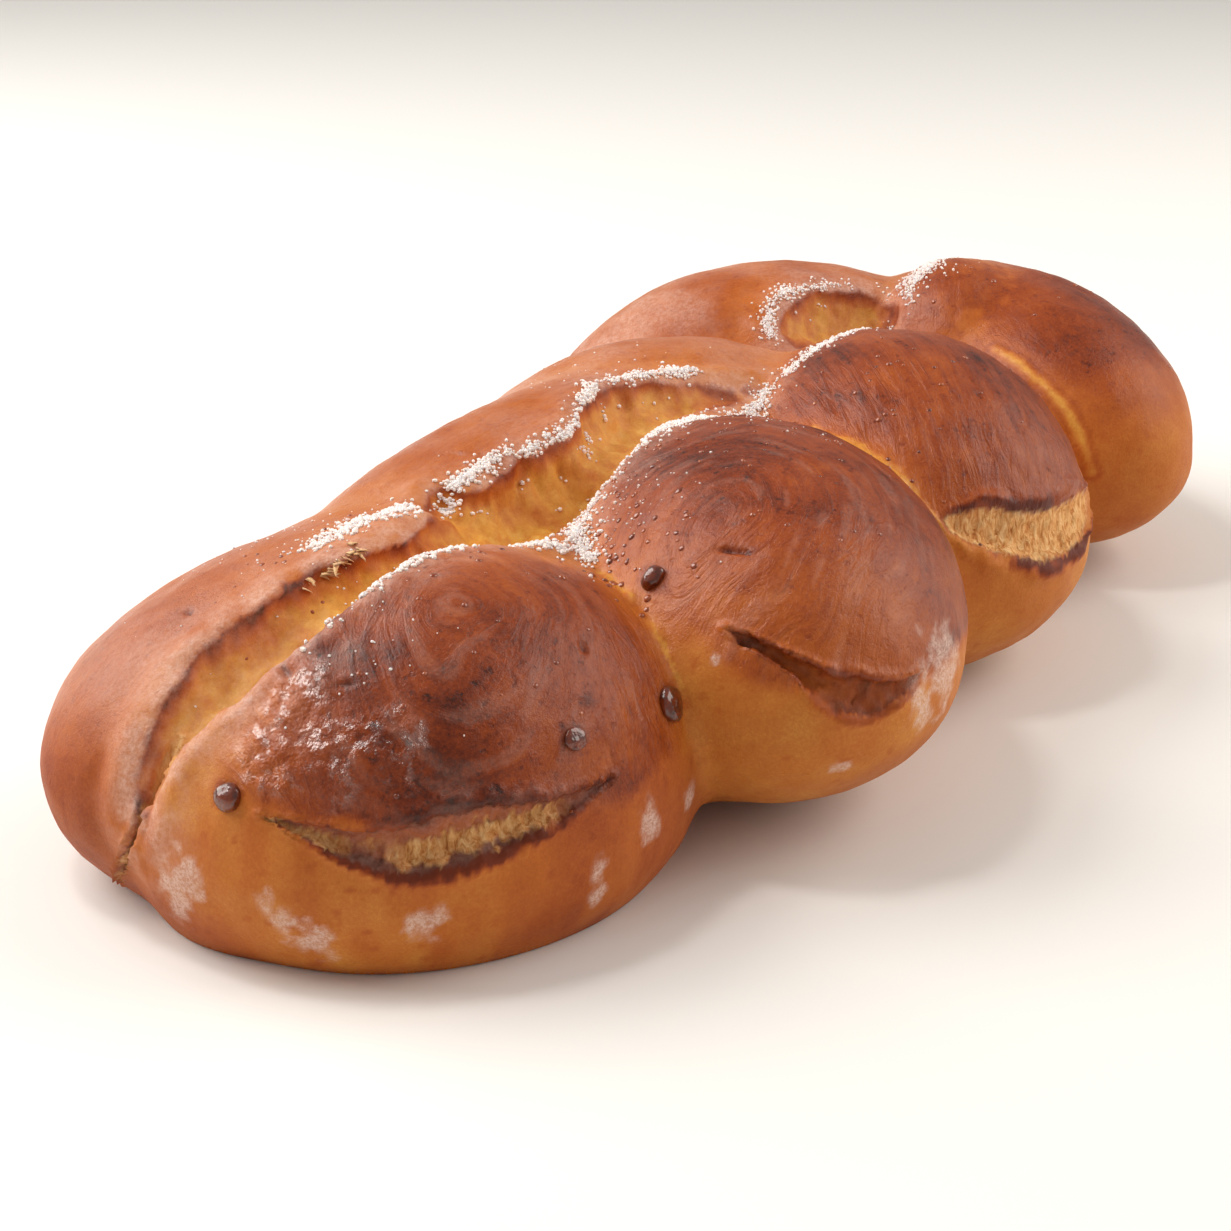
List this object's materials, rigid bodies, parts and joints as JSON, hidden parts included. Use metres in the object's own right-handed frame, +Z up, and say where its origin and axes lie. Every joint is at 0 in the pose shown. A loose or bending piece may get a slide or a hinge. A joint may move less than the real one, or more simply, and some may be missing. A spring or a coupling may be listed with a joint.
{
  "type": "braided sweet bread loaf",
  "caption": "Braided Portuguese sweet bread loaf with a glossy browned crust, pale stretched valleys between its risen bulges, split skins and coarse sugar along the folds.",
  "frame": {"origin": "centre of the bounding box on the flat bottom that the loaf rests on", "axes": "+X along the loaf from its near left end to its far end, +Y to the left row of the braid, +Z up"},
  "size_m": [0.3249, 0.1592, 0.0689],
  "materials": {
    "crust": "egg-washed crust, reddish brown and semi-gloss on top, golden brown and duller on the flanks, pale yellow where the dough stretched",
    "sugar": "coarse white sugar, slightly translucent, with small glints"
  },
  "bodies": {
    "root": {"bread": "crust"}
  },
  "joints": []
}
